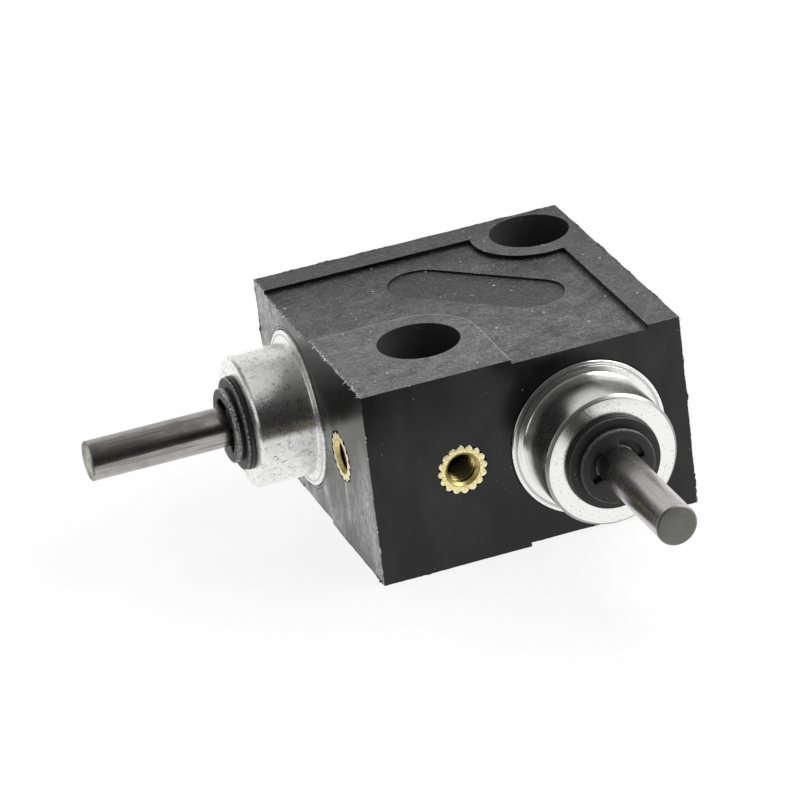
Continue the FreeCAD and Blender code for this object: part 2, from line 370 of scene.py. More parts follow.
def mouldedPolymer():
    look = polymerLook
    material, shader = newMaterial("mouldedPolymer", IOR=1.42, Coat_Roughness=0.22, Coat_IOR=1.65)
    vector = coordinates(shader)
    place = axesOf(vector)
    floor, plaque, pad = levelMasks(place)
    recess = most(floor, plaque)
    level = most(recess, pad)
    left = isNear(place[0], blockLow.x, look["planeBand"])
    front = isNear(place[1], blockLow.y, look["planeBand"])
    witness = witnessRing(place, left)

    fine, cloud = placeGroup(grain, vector, Scale=3.2)
    tone, marks = topTone(vector, place, fine, floor, plaque)
    dust = times(placeGroup(specks, vector, **look["dust"])[0], timesPlus(level, 0.75, 0.2))
    # painted glints: pale spots on the top where the fine grain peaks, mixed in with the real dust specks
    dust = most(dust, times(remap(fine, 0.6, 0.72, 0.0, 0.35), level))
    ticks = times(placeGroup(scratches, vector, **look["ticks"])[0], front, look["tickShade"])
    pits = times(placeGroup(specks, vector, **look["pits"])[0], left)

    # a dull film on the left face, dragged upright, thickest low down and to the back
    upright = mapped(vector, Rotation=(-0.3, 0.0, 0.0), Scale=(1.0, 1.0, 0.4))
    film = noiseField(upright, 0.25, 5.0, distortion=0.4)
    drag = noiseField(upright, 2.2, 5.0, 0.65)
    spread = most(remap(place[2], *look["filmLow"]), remap(place[1], *look["filmBack"]))
    filmed = times(spread, minus(left, pits))
    filmDust = times(remap(film, 0.4, 0.62, 0.0, 1.0), remap(drag, 0.35, 0.62, 0.2, 1.3), filmed)
    polish = times(remap(film, 0.4, 0.6, 0.15, 1.0), remap(drag, 0.36, 0.6, 0.1, 1.2), filmed)
    feed(shader, "Coat Weight", polish)

    color = blendColor(remap(film, 0.4, 0.65, 0.0, 1.0), grey(look["black"]), grey(look["smudge"]))
    for mask, shade in ((floor, "recessGrey"), (plaque, "plaqueGrey"), (pad, "padGrey")):
        color = blendColor(mask, color, grey(look[shade]))
    color = blendColor(level, color, vectorMath("SCALE", color, {"Scale": tone})[0])
    # painted light among these layers: highlights along the pad and top edges, and glints mixed in with the
    # dust
    layers = (
        (edgeHighlights(place, pad, level, fine), "edgeHighlightGrey"), (holeWalls(place), "boreGrey"),
        (filmDust, "sideDust"), (most(dust, ticks), "dustAndGlintGrey"), (most(witness, pits), "pitGrey"),
    )
    for mask, shade in layers:
        color = blendColor(mask, color, grey(look[shade]))
    feed(shader, "Base Color", color)

    rough = timesPlus(recess, look["recessRoughness"] - look["sideRoughness"], look["sideRoughness"])
    rough = timesPlus(pad, look["padRoughness"] - look["sideRoughness"], rough)
    rough = timesPlus(minus(cloud, 0.5), 0.25, rough)
    feed(shader, "Roughness", timesPlus(most(witness, pits, dust), 0.5, rough))

    height = times(fine, timesPlus(level, 2.4, 0.06))
    height = timesPlus(times(drag, spread, left), 3.0, height)
    height = timesPlus(dust, 0.8, height)
    sunk = most(times(marks, level), pits, witness)
    bump(shader, minus(height, sunk), 0.8, 0.09)
    return material


aluminiumLook = {
    "color": (0.95, 0.95, 0.94, 1), "pitAndShadeColor": (0.2, 0.19, 0.18, 1),
    "input": {
        "brushing": 0.75, "pits": {"Cells": 2.6, "Share": 0.3, "Size": 0.2}, "rings": 0.3,
        "roughness": 0.25, "dull": 0.2, "sidePits": 1.0, "veinDepth": 0.75,
        "grainScale": 4.0, "grainBump": 0.2, "lines": 5.0, "edgePaintedShade": 0.15, "edgeRoughness": 0.0,
    },
    "output": {
        "brushing": 0.5, "pits": {"Cells": 5.0, "Share": 0.14, "Size": 0.4}, "rings": 0.12,
        "roughness": 0.18, "dull": 0.15, "sidePits": 0.06, "veinDepth": 0.12,
        "grainScale": 6.0, "grainBump": 0.0, "lines": 9.0, "edgePaintedShade": 0.7, "edgeRoughness": 0.25,
    },
    "grooveDarkening": 0.5, "veinScale": 1.9, "endBand": 0.03, "flangeBand": 0.05, "edgeBand": 0.02,
    "scoreNormal": (0.803, 0.596, 0.0), "scorePlace": -1.93, "scoreWidth": 0.05, "scoreBelow": -4.5,
}


def faceScore(vector, endFace):
    # one straight score across the output side's end face
    look = aluminiumLook
    across = vectorMath("DOT_PRODUCT", vector, {1: look["scoreNormal"]})["Value"]
    line = isNear(across, look["scorePlace"], look["scoreWidth"])
    return times(line, isUnder(axesOf(vector)[1], look["scoreBelow"]), endFace)


def bossZones(vector, radius, end, flangeRadius):
    # the flat end face, the flange, the broken front edge and the groove in the flange
    look, size = aluminiumLook, bossSizes
    along = axesOf(vector)[2]
    endFace = isOver(along, end - look["endBand"])
    flange = isUnder(along, facePlace + size["proud"] + look["flangeBand"])
    inward = size["chamfer"] - look["edgeBand"]
    edge = times(isOver(radius, size["radius"] - inward), isOver(along, end - inward))
    middle = flangeRadius - size["lip"] - size["groove"] / 2
    groove = times(isNear(radius, middle, size["groove"] / 2), flange)
    return endFace, flange, edge, groove


def turnedAluminium(lineName):
    look, line = aluminiumLook, shaftLines[lineName]
    own = look[lineName]
    node = lineName + "_bearing_housing"
    material, shader = newMaterial(
        "turnedAluminium." + lineName, Metallic=1.0, Anisotropic=own["brushing"], Anisotropic_Rotation=0.25
    )
    around = newNode(shader.id_data, "ShaderNodeTangent", direction_type="RADIAL", axis=line["axis"])
    feed(shader, "Tangent", around.outputs[0])
    vector = coordinates(shader, line)
    height, radius = placeGroup(turning, vector, Lines=own["lines"])
    endFace, flange, edge, groove = bossZones(vector, radius, spanOf(node, line)[1], radiusOf(node))
    fine, cloud = placeGroup(grain, vector, Scale=own["grainScale"])
    pits = placeGroup(specks, vector, **own["pits"])[0]
    worms = placeGroup(veins, vector, Scale=look["veinScale"])[0]
    sunk = times(pits, most(endFace, flange, own["sidePits"]), 0.8)
    sunk = most(sunk, times(worms, own["veinDepth"]))
    if lineName == "output":
        sunk = most(sunk, faceScore(vector, endFace))
    rings = times(remap(height, 0.55, 0.7, 0.0, own["rings"]), endFace)
    # the groove in the flange is painted darker
    dull = most(sunk, remap(fine, 0.35, 0.6, own["dull"], 0.0), rings)
    # painted shade: the broken front edge is painted darker, standing in for a duller reflection there; the
    # dark colour also serves the pits
    dull = most(dull, times(groove, look["grooveDarkening"]), times(edge, own["edgePaintedShade"]))
    feed(shader, "Base Color", blendColor(dull, look["color"], look["pitAndShadeColor"]))
    rough = timesPlus(minus(cloud, 0.5), 0.14, own["roughness"])
    rough = timesPlus(height, 0.06, rough)
    feed(shader, "Roughness", timesPlus(edge, own["edgeRoughness"], rough))
    relief = timesPlus(fine, own["grainBump"], height)
    bump(shader, minus(relief, times(sunk, 0.5)), 0.22, 0.03)
    return material


shaftLook = {
    "lines": 14.0, "endFace": 0.22, "pits": {"Cells": 1.6, "Share": 0.12, "Size": 0.14},
    "input": {
        "roughness": 0.18, "streaks": 0.75,
        "color": (0.45, 0.44, 0.43, 1), "stain": (0.22, 0.21, 0.2, 1),
        "endDark": (0.2, 0.2, 0.18, 1), "endPale": (0.62, 0.63, 0.53, 1),
    },
    "output": {
        "roughness": 0.24, "streaks": 0.3,
        "color": (0.58, 0.57, 0.56, 1), "stain": (0.3, 0.29, 0.28, 1),
        "endDark": (0.22, 0.22, 0.2, 1), "endPale": (0.26, 0.26, 0.24, 1),
    },
}


def groundSteel(lineName):
    look, line = shaftLook, shaftLines[lineName]
    own = look[lineName]
    material, shader = newMaterial("groundSteel." + lineName, Metallic=1.0)
    vector = coordinates(shader, line)
    height, _ = placeGroup(turning, vector, Lines=look["lines"])
    fine, cloud = placeGroup(grain, vector, Scale=6.0)
    streaks = noiseField(mapped(vector, Scale=(1.0, 1.0, 0.05)), 2.2, 4.0)
    pits = placeGroup(specks, vector, **look["pits"])[0]
    endFace = isOver(axesOf(vector)[2], spanOf(lineName + "_shaft", line)[1] - look["endFace"])
    stain = remap(cloud, 0.45, 0.75, 0.0, own["streaks"])
    stain = most(stain, remap(streaks, 0.45, 0.65, 0.0, own["streaks"]), pits)
    color = blendColor(stain, own["color"], own["stain"])
    mottle = remap(timesPlus(fine, 0.35, times(cloud, 0.65)), 0.44, 0.58, 0.0, 1.0)
    color = blendColor(endFace, color, blendColor(mottle, own["endDark"], own["endPale"]))
    feed(shader, "Base Color", color)
    rough = timesPlus(height, 0.14, own["roughness"] - 0.05)
    feed(shader, "Roughness", timesPlus(endFace, 0.3, rough))
    bump(shader, timesPlus(fine, 0.4, height), 0.25, 0.02)
    return material


wearShares = {"input": 1.0, "output": 0.2}
blackenedDust = {"Cells": 2.2, "Share": 0.2, "Size": 0.12}
blackenedLooks = {
    "blackAcetal": {"color": 0.012, "worn": 0.06, "roughness": 0.42, "wear": 0.5, "width": 0.14},
    "blackWasherSteel": {"color": 0.012, "worn": 0.6, "roughness": 0.52, "wear": 0.9, "width": 0.16},
    "shimSteel": {"color": 0.012, "worn": 0.05, "roughness": 0.5, "wear": 0.4, "width": 0.14},
    "blackClipSteel": {"color": 0.012, "worn": 0.8, "roughness": 0.5, "wear": 0.95, "width": 0.26},
}


def blackened(finish, lineName, edge):
    look = blackenedLooks[finish]
    material, shader = newMaterial(finish + "." + lineName)
    vector = coordinates(shader, shaftLines[lineName])
    height, radius = placeGroup(turning, vector, Lines=7.0)
    fine, _ = placeGroup(grain, vector, Scale=8.0)
    wear = placeGroup(rimWear, vector, Radius=radius, Edge=edge, Width=look["width"])[0]
    dust = placeGroup(specks, vector, **blackenedDust)[0]
    bright = most(times(wear, look["wear"] * wearShares[lineName]), times(dust, 0.7))
    feed(shader, "Base Color", blendColor(bright, grey(look["color"]), grey(look["worn"])))
    feed(shader, "Roughness", timesPlus(fine, 0.22, look["roughness"] - 0.1))
    bump(shader, plus(fine, height), 0.3, 0.02)
    return material


brassLook = {
    "color": (0.95, 0.86, 0.44, 1), "tarnish": (0.5, 0.37, 0.1, 1), "tip": (1.0, 0.96, 0.76, 1),
    "mouth": (0.9, 0.76, 0.32, 1), "bore": (0.06, 0.04, 0.01, 1),
    "tipHighlightRadius": (2.65, 3.05), "rootRadius": (1.78, 1.92), "seam": 2.15, "seamWidth": 0.04,
    "boreStart": -0.45, "boreDeep": -4.0, "roughness": 0.24, "mouthRoughness": 0.2,
    "pits": {"Cells": 4.0, "Share": 0.3, "Size": 0.14},
}


def brass(node, line, mouth):
    # painted highlight on the tooth tips, yellower countersink, a dark seam at its edge, and painted shade in
    # the thread, dark at its roots and with depth
    look = brassLook
    material, shader = newMaterial("brass." + node, Metallic=1.0)
    vector = coordinates(shader, line, mouth)
    fine, _ = placeGroup(grain, vector, Scale=4.0)
    pits = placeGroup(specks, vector, **look["pits"])[0]
    height, radius = placeGroup(turning, vector, Lines=8.0)
    depth = axesOf(vector)[2]
    mouthHere = isUnder(radius, look["seam"])
    boreHere = times(isUnder(depth, look["boreStart"]), mouthHere)
    # painted shade: the thread darkened at its roots and deeper into the bore
    rootShade = remap(radius, *look["rootRadius"], 0.0, 0.97)
    dark = most(rootShade, remap(depth, look["boreStart"], look["boreDeep"], 0.0, 0.9))
    seam = times(isNear(radius, look["seam"], look["seamWidth"]), isOver(depth, look["boreStart"]))
    shade = most(times(boreHere, dark), times(seam, 0.7))
    tarnish = most(remap(fine, 0.48, 0.66, 0.0, 0.8), pits)
    # painted highlight: the tooth tips turn paler towards their outer radius
    color = blendColor(remap(radius, *look["tipHighlightRadius"], 0.0, 1.0), look["color"], look["tip"])
    for mask, layer in ((mouthHere, "mouth"), (tarnish, "tarnish"), (shade, "bore")):
        color = blendColor(mask, color, look[layer])
    feed(shader, "Base Color", color)
    rough = timesPlus(fine, 0.2, look["roughness"] - 0.08)
    countersink = minus(mouthHere, boreHere)
    feed(shader, "Roughness", timesPlus(countersink, look["mouthRoughness"], rough))
    bump(shader, plus(fine, height), 0.3, 0.03)
    return material


innerPits = {"Cells": 3.0, "Share": 0.25, "Size": 0.12}
innerLooks = {
    "sinteredBronze": {
        "color": (0.5, 0.33, 0.18, 1), "dark": (0.22, 0.13, 0.07, 1), "metallic": 1.0, "roughness": 0.45,
    },
    "gearSteel": {
        "color": (0.5, 0.49, 0.47, 1), "dark": (0.26, 0.25, 0.24, 1), "metallic": 1.0, "roughness": 0.32,
    },
    "pinSteel": {
        "color": (0.42, 0.42, 0.43, 1), "dark": (0.2, 0.2, 0.21, 1), "metallic": 1.0, "roughness": 0.25,
    },
    "paleAcetal": {
        "color": (0.72, 0.7, 0.65, 1), "dark": (0.55, 0.52, 0.46, 1), "metallic": 0.0, "roughness": 0.38,
    },
}


def innerFinish(finish):
    look = innerLooks[finish]
    material, shader = newMaterial(finish, Metallic=look["metallic"])
    vector = coordinates(shader)
    fine, cloud = placeGroup(grain, vector, Scale=6.0)
    pits = placeGroup(specks, vector, **innerPits)[0]
    dark = most(remap(cloud, 0.4, 0.8, 0.0, 0.8), pits)
    feed(shader, "Base Color", blendColor(dark, look["color"], look["dark"]))
    feed(shader, "Roughness", timesPlus(fine, 0.2, look["roughness"] - 0.1))
    bump(shader, fine, 0.3, 0.03)
    return material


polymerFinish = mouldedPolymer()
print("materials made")


# Mesh helpers

mergeGaps = {"solid": 0.0005, "turned": 0.0002}  # mm


def turnedShape(corners, steps, roundSteps=5):
    # corners are (radius, place along the axis, rounding) in mm, in order round the section
    bm = bmesh.new()
    verts = [bm.verts.new((radius, 0, along)) for radius, along, _ in corners]
    for index in range(1, len(verts)):
        bm.edges.new((verts[index - 1], verts[index]))
    if corners[0][0] > 0:
        bm.edges.new((verts[-1], verts[0]))
    for vert, (_, _, rounding) in zip(verts, corners):
        if rounding:
            bmesh.ops.bevel(
                bm, geom=[vert], offset=rounding, offset_type="OFFSET", affect="VERTICES",
                segments=roundSteps, profile=0.5, material=-1,
            )
    bmesh.ops.spin(
        bm, geom=bm.verts[:] + bm.edges[:], cent=(0, 0, 0), axis=(0, 0, 1), dvec=(0, 0, 0),
        angle=2 * math.pi, steps=steps, use_merge=True,
    )
    return bm


def nodeCopy(node):
    bm = bmesh.new()
    bm.from_mesh(frame["nodes"][node].data)
    bmesh.ops.remove_doubles(bm, verts=bm.verts, dist=mergeGaps["solid"] * mm)
    bmesh.ops.dissolve_limit(bm, angle_limit=math.radians(1), verts=bm.verts, edges=bm.edges)
    return bm


def meshObject(name, bm, material):
    mesh = bpy.data.meshes.new(name)
    bm.to_mesh(mesh)
    bm.free()
    mesh.materials.append(material)
    piece = bpy.data.objects.new(name, mesh)
    bpy.context.collection.objects.link(piece)
    return piece


def finishPiece(name, bm, material, body, stands=None, place=None, crease=35):
    if place:
        bmesh.ops.remove_doubles(bm, verts=bm.verts, dist=mergeGaps["turned"])
        bmesh.ops.recalc_face_normals(bm, faces=bm.faces)
        bmesh.ops.transform(bm, matrix=place, verts=bm.verts)
    piece = meshObject(name, bm, material)
    piece.data.polygons.foreach_set("use_smooth", [True] * len(piece.data.polygons))
    piece.data.set_sharp_from_angle(angle=math.radians(crease))
    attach(piece, body)
    if stands:
        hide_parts(stands)


def paint(node, material):
    mesh = frame["nodes"][node].data
    mesh.materials.clear()
    mesh.materials.append(material)


# Bearing housings: sleeve, seated flange with a lip and a shallow groove, then the turned boss

bossSizes = {
    "bore": 4.5, "radius": 8.25, "seat": 1.2, "proud": 0.3, "chamfer": 0.35, "chamferRound": 0.08,
    "lip": 0.42, "lipRound": 0.2, "groove": 0.3, "grooveDepth": 0.07, "grooveRound": 0.06, "grooveFoot": 0.03,
    "sleeveRound": 0.2, "boreRound": 0.12, "root": 0.25, "rootSteps": 4, "steps": 144,
}


def bossSection(start, end, flangeRadius):
    size = bossSizes
    radius, root, depth = size["radius"], size["root"], size["grooveDepth"]
    back, front = facePlace - size["seat"], facePlace + size["proud"]
    grooveOut = flangeRadius - size["lip"]
    grooveIn = grooveOut - size["groove"]
    section = [
        (size["bore"], start, size["sleeveRound"]),
        (radius, start, size["sleeveRound"]),
        (radius, back, 0),
        (flangeRadius, back, 0),
        (flangeRadius, front, size["lipRound"]),
        (grooveOut, front, size["grooveRound"]),
        (grooveOut - depth, front - depth, size["grooveFoot"]),
        (grooveIn + depth, front - depth, size["grooveFoot"]),
        (grooveIn, front, size["grooveRound"]),
    ]
    for step in range(size["rootSteps"] + 1):
        turn = math.pi / 2 * step / size["rootSteps"]
        section.append((radius + root * (1 - math.sin(turn)), front + root * (1 - math.cos(turn)), 0))
    section += [
        (radius, end - size["chamfer"], size["chamferRound"]),
        (radius - size["chamfer"], end, size["chamferRound"]),
        (size["bore"], end, size["boreRound"]),
    ]
    return section


for lineName, line in shaftLines.items():
    node = lineName + "_bearing_housing"
    section = bossSection(*spanOf(node, line), radiusOf(node))
    finishPiece(
        lineName + "Boss", turnedShape(section, bossSizes["steps"]), turnedAluminium(lineName),
        "block", node, placeAt(apex, line), crease=25,
    )
print("bearing housings turned")


# Washers and shims: flat rings with soft stamped edges

ringSizes = {
    "bore": 2.58, "steps": 96,
    "rings": {
        "thrust_washer": {"round": 0.19, "finish": "blackAcetal", "slot": "black_acetal", "body": "block"},
        "spacer_washer": {"round": 0.16, "finish": "blackWasherSteel", "slot": "black_washer_steel"},
        "shim": {"round": 0.07, "finish": "shimSteel", "slot": "shim_steel"},
    },
}

for lineName, line in shaftLines.items():
    for ringName, ring in ringSizes["rings"].items():
        node = lineName + "_" + ringName
        start, end = spanOf(node, line)
        bore, outer = ringSizes["bore"], radiusOf(node)
        section = [
            (bore, start, ring["round"] / 2),
            (outer, start, ring["round"]),
            (outer, end, ring["round"]),
            (bore, end, ring["round"] / 2),
        ]
        finishPiece(
            lineName + "Ring." + ringName, turnedShape(section, ringSizes["steps"]),
            blackened(ring["finish"], lineName, outer),
            ring.get("body", lineName), node, placeAt(apex, line), crease=50,
        )
print("washers and shims made")


# E-clips: the stamped blank with rolled edges

clipSizes = {"edgeRound": 0.2, "segments": 4, "sharp": math.radians(30), "wearRadius": 4.65}

for lineName in shaftLines:
    node = lineName + "_e_clip"
    bm = nodeCopy(node)
    sharp = [edge for edge in bm.edges if edge.is_manifold and edge.calc_face_angle() > clipSizes["sharp"]]
    bmesh.ops.bevel(
        bm, geom=sharp, offset=clipSizes["edgeRound"] * mm, offset_type="OFFSET", affect="EDGES",
        segments=clipSizes["segments"], profile=0.5, material=-1, clamp_overlap=True,
    )
    finishPiece(
        lineName + "Clip", bm, blackened("blackClipSteel", lineName, clipSizes["wearRadius"]),
        lineName, node, crease=50,
    )
print("clips made")


# Shafts: ground bar with the clip groove and broken end edges

shaftSizes = {
    "grooveDepth": 0.5, "groovePlay": 0.03, "grooveRound": 0.04, "backRound": 0.1,
    "chamfer": 0.2, "chamferRound": 0.07, "steps": 96,
}

for lineName, line in shaftLines.items():
    size = shaftSizes
    node = lineName + "_shaft"
    start, end = spanOf(node, line)
    clipStart, clipEnd = spanOf(lineName + "_e_clip", line)
    grooveStart, grooveEnd = clipStart - size["groovePlay"], clipEnd + size["groovePlay"]
    outer = radiusOf(node)
    section = [
        (0, start, 0),
        (outer, start, size["backRound"]),
        (outer, grooveStart, size["grooveRound"]),
        (outer - size["grooveDepth"], grooveStart, 0),
        (outer - size["grooveDepth"], grooveEnd, 0),
        (outer, grooveEnd, size["grooveRound"]),
        (outer, end - size["chamfer"], size["chamferRound"]),
        (outer - size["chamfer"], end, size["chamferRound"]),
        (0, end, 0),
    ]
    finishPiece(
        lineName + "Bar", turnedShape(section, size["steps"]), groundSteel(lineName),
        lineName, node, placeAt(apex, line), crease=30,
    )
print("shafts turned")


# Threaded inserts: knurled brass body, countersunk mouth and a helical thread

insertSizes = {
    "teeth": 16, "tip": 3.1, "root": 2.68, "toothPower": 0.8, "mouth": 2.12, "lip": 1.74,
    "countersink": 0.4, "relief": 0.3, "proud": 0.03, "bore": 2.02, "edgeRound": 0.06, "lipRound": 0.02,
    "crest": 1.66, "pitch": 0.7, "flank": 0.44, "flat": 0.08, "overlap": 0.01,
    "stepsPerTooth": 8, "threadSteps": 40,
}
gapSizes = {
    "outer": {"left_insert": 3.22, "front_insert": 2.97}, "inner": 2.5, "depth": 0.3, "proud": 0.008,
    "ragged": 0.25, "raggedScale": 5, "steps": 96, "greys": (0.002, 0.01),
}
insertLines = {"left_insert": shaftLines["input"], "front_insert": shaftLines["output"]}


def insertBody(depth):
    size = insertSizes
    section = [
        (size["bore"], -depth, 0),
        (size["bore"], -size["countersink"] - size["relief"], 0),
        (size["lip"], -size["countersink"], size["lipRound"]),
        (size["mouth"], size["proud"], size["lipRound"]),
        (size["tip"], size["proud"], size["edgeRound"]),
        (size["tip"], -depth, 0),
    ]
    bm = turnedShape(section, size["teeth"] * size["stepsPerTooth"])
    knurlStart = (size["mouth"] + size["root"]) / 2
    for vert in bm.verts:
        flat = vert.co.xy
        if flat.length > knurlStart:
            turn = math.atan2(flat.y, flat.x)
            tooth = abs(math.cos(turn * size["teeth"] / 2)) ** size["toothPower"]
            vert.co.xy = flat * (size["root"] + (size["tip"] - size["root"]) * tooth) / size["tip"]
    return bm


def shadowedGapRing(node, seed):
    # a black ring round an insert: the gap where the moulding shrank away, with painted shadow in it, black
    # and without reflection
    size = gapSizes
    inner, outer = size["inner"], size["outer"][node]
    foot, top = -size["depth"], size["proud"]
    bm = turnedShape([(inner, foot, 0), (outer, foot, 0), (outer, top, 0), (inner, top, 0)], size["steps"])
    for vert in bm.verts:
        flat = vert.co.xy
        if flat.length > (inner + outer) / 2:
            around = Vector((*flat.normalized() * size["raggedScale"], seed))
            vert.co.xy = flat * (1 + size["ragged"] * noise.noise(around) / outer)
    return bm


def gapShadowBlack():
    # painted shadow: near black, with no reflection, for the gap round the inserts
    material, shader = newMaterial("gapShadowBlack", Specular_IOR_Level=0.0)
    fine, _ = placeGroup(grain, coordinates(shader), Scale=8.0)
    feed(shader, "Base Color", blendColor(fine, *map(grey, gapSizes["greys"])))
    return material


def addThread(bm, depth):
    size = insertSizes
    pitch, foot = size["pitch"], size["bore"] + size["overlap"]
    turns = int((depth - size["countersink"] - size["relief"]) / pitch)
    start = -depth + pitch / 2
    section = (
        (foot, -pitch * size["flank"]), (size["crest"], -pitch * size["flat"]),
        (size["crest"], pitch * size["flat"]), (foot, pitch * size["flank"]),
    )
    verts = [bm.verts.new((radius, 0, start + along)) for radius, along in section]
    edges = [bm.edges.new((verts[index - 1], verts[index])) for index in range(1, len(verts))]
    bmesh.ops.spin(
        bm, geom=verts + edges, cent=(0, 0, 0), axis=(0, 0, 1), dvec=(0, 0, pitch / size["threadSteps"]),
        angle=2 * math.pi * turns, steps=turns * size["threadSteps"],
    )


gapShadowFinish = gapShadowBlack()
for node, line in insertLines.items():
    low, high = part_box(node)
    name = node.replace("_i", "I")
    depth = spanOf(node, line)[1] - spanOf(node, line)[0]
    mouth = (low + high) / 2 + line["outward"] * depth * mm / 2
    bm = insertBody(depth)
    addThread(bm, depth)
    place = placeAt(mouth, line)
    finishPiece(name, bm, brass(node, line, mouth), "block", node, place, crease=40)
    finishPiece(name + "Gap", shadowedGapRing(node, depth), gapShadowFinish, "block", None, place)
print("inserts made")


# Ragged moulding edges on the block: a low uneven ridge of flash along each outer edge

flashSizes = {
    "reach": 0.05, "height": 0.2, "burr": 0.3, "step": 0.13, "sink": 0.004, "bare": 0.35, "burrStart": 0.42,
    "recessDepth": 0.5, "padEdge": -4.05, "rimEdge": 13.25, "greys": (0.006, 0.55), "seedStep": 3.7,
    "waves": ((0.3, 0.0), (1.1, 3.0), (3.7, 5.0), (0.45, 7.0)),  # how often, and which draw
}


def addRidge(bm, start, end, sides, seed):
    size = flashSizes
    start, end = Vector(start), Vector(end)
    length = (end - start).length
    count = max(2, int(length / size["step"]))
    first, second = [Vector(side) for side in sides]
    outward = first + second
    outward.z = max(outward.z, 0.0)
    outward.normalize()
    for vert in bmesh.ops.create_grid(bm, x_segments=count, y_segments=2, size=1.0)["verts"]:
        place, row = length * (vert.co.x + 1) / 2, round(vert.co.y)
        along = start + (end - start) * place / length
        draws = [noise.noise(Vector((place * rate, seed, draw))) for rate, draw in size["waves"]]
        patch, coarse, fine, lump = draws
        tooth = abs(coarse) + abs(fine) / 2
        burr = max(0.0, lump - size["burrStart"])
        rise = size["height"] * max(0.0, 0.5 + patch - size["bare"]) * tooth * 2 + size["burr"] * burr
        if row == 0:
            vert.co = along + outward * rise
        else:
            across, sunk = (second, first) if row < 0 else (first, second)
            vert.co = along - across * (size["reach"] * tooth + rise / 2) - sunk * size["sink"]


def blockEdges():
    size = flashSizes
    low, high = blockLow, blockHigh
    edges = []
    for x in (low.x, high.x):
        for y in (low.y, high.y):
            sides = ((math.copysign(1, x), 0, 0), (0, math.copysign(1, y), 0))
            edges.append(((x, y, low.z), (x, y, high.z), sides))
    for z, up in ((high.z, 1), (low.z, -1)):
        inner = z - up * size["recessDepth"]
        for across in (0, 1):
            side = Vector((0, 0, 0))
            side[1 - across] = -1
            crisp = across == 0 and up > 0  # the front top edge is clean
            stops = () if crisp else (
                (low[across], size["padEdge"], z),
                (size["padEdge"], size["rimEdge"], inner),
                (size["rimEdge"], high[across], z),
            )
            for begin, stop, level in stops:
                ends = [Vector((low.x, low.y, level)), Vector((low.x, low.y, level))]
                ends[0][across], ends[1][across] = begin, stop
                edges.append((*ends, (side, (0, 0, up))))
            far = Vector((low.x, low.y, z))
            far[1 - across] = high[1 - across]
            end = far.copy()
            end[across] = high[across]
            edges.append((far, end, (-side, (0, 0, up))))
    return edges


def whitenedFlash():
    # thin flash turns pale where it was bent or torn
    material, shader = newMaterial("whitenedFlash", Roughness=0.5)
    fine, _ = placeGroup(grain, coordinates(shader), Scale=2.5)
    torn = remap(fine, 0.56, 0.66, 0.0, 1.0)
    feed(shader, "Base Color", blendColor(torn, *map(grey, flashSizes["greys"])))
    bump(shader, fine, 0.5, 0.05)
    return material


bm = bmesh.new()
for index, (start, end, sides) in enumerate(blockEdges()):
    addRidge(bm, start, end, sides, index * flashSizes["seedStep"])
bmesh.ops.scale(bm, vec=(mm, mm, mm), verts=bm.verts)
bmesh.ops.recalc_face_normals(bm, faces=bm.faces)
finishPiece("mouldFlash", bm, whitenedFlash(), "block", crease=60)
print("block edges roughened")


# Torn fibres on the edges nearest the camera

fuzzSizes = {
    "thickness": 0.06, "length": 0.75, "shortest": 0.25, "sunk": 0.35, "spacing": 0.16, "segments": 4,
    "seedStep": 5.3, "drawStep": 1.73, "draws": (0.5, 11.5, 23.5), "greys": (0.5, 1.0),
}


def addFibres(bm, start, end, sides, bare, seed):
    size = fuzzSizes
    start, end = Vector(start), Vector(end)
    first, second = [Vector(side) for side in sides]
    along = (end - start).normalized()
    count = int((end - start).length / size["spacing"])
    for index in range(count):
        spot = index * size["drawStep"]
        lot, reach, lean = [noise.noise(Vector((spot, seed, draw))) for draw in size["draws"]]
        if lot < bare:
            continue
        length = size["length"] * (size["shortest"] + abs(reach))
        point = (first * (0.5 + reach) + second * (0.4 - reach) + along * 2 * lean).normalized()
        place = start + (end - start) * index / count + point * length * size["sunk"]
        turn = point.to_track_quat("Z", "Y").to_matrix().to_4x4()
        bmesh.ops.create_cone(
            bm, cap_ends=True, segments=size["segments"], radius1=size["thickness"],
            radius2=size["thickness"] / 4, depth=length, matrix=Matrix.Translation(place) @ turn,
        )


def paleFibre():
    material, shader = newMaterial("paleFibre", Roughness=0.6)
    fine, _ = placeGroup(grain, coordinates(shader), Scale=4.0)
    feed(shader, "Base Color", blendColor(fine, *map(grey, fuzzSizes["greys"])))
    return material


left, front, right, up = (-1, 0, 0), (0, -1, 0), (1, 0, 0), (0, 0, 1)
low, high, recessTop = blockLow, blockHigh, blockHigh.z - flashSizes["recessDepth"]
padEdge, rimEdge = flashSizes["padEdge"], flashSizes["rimEdge"]
fuzzyEdges = (  # start, end, the faces that meet there, how bare it is
    ((low.x, low.y, high.z), (low.x, padEdge, high.z), (left, up), 0.15),
    ((low.x, padEdge, recessTop), (low.x, rimEdge, recessTop), (left, up), 0.4),
    ((low.x, low.y, low.z), (low.x, low.y, high.z), (left, front), 0.42),
    ((high.x, low.y, low.z), (high.x, low.y, high.z), (right, front), 0.35),
)
bm = bmesh.new()
for index, (start, end, sides, bare) in enumerate(fuzzyEdges):
    addFibres(bm, start, end, sides, bare, index * fuzzSizes["seedStep"])
bmesh.ops.scale(bm, vec=(mm, mm, mm), verts=bm.verts)
finishPiece("mouldFuzz", bm, paleFibre(), "block")
print("fibres added")


# CAD solids that show, or could be seen with the block opened

paint("housing", polymerFinish)
innerNodes = {
    "outer_bush": "sinteredBronze", "inner_bush": "sinteredBronze", "gear": "gearSteel",
    "gear_pin": "pinSteel", "gear_washer": "paleAcetal",
}
innerMaterials = {finish: innerFinish(finish) for finish in innerLooks}
for lineName in shaftLines:
    for nodeName, finish in innerNodes.items():
        paint(lineName + "_" + nodeName, innerMaterials[finish])
print("solids painted")


# Floor, light and camera

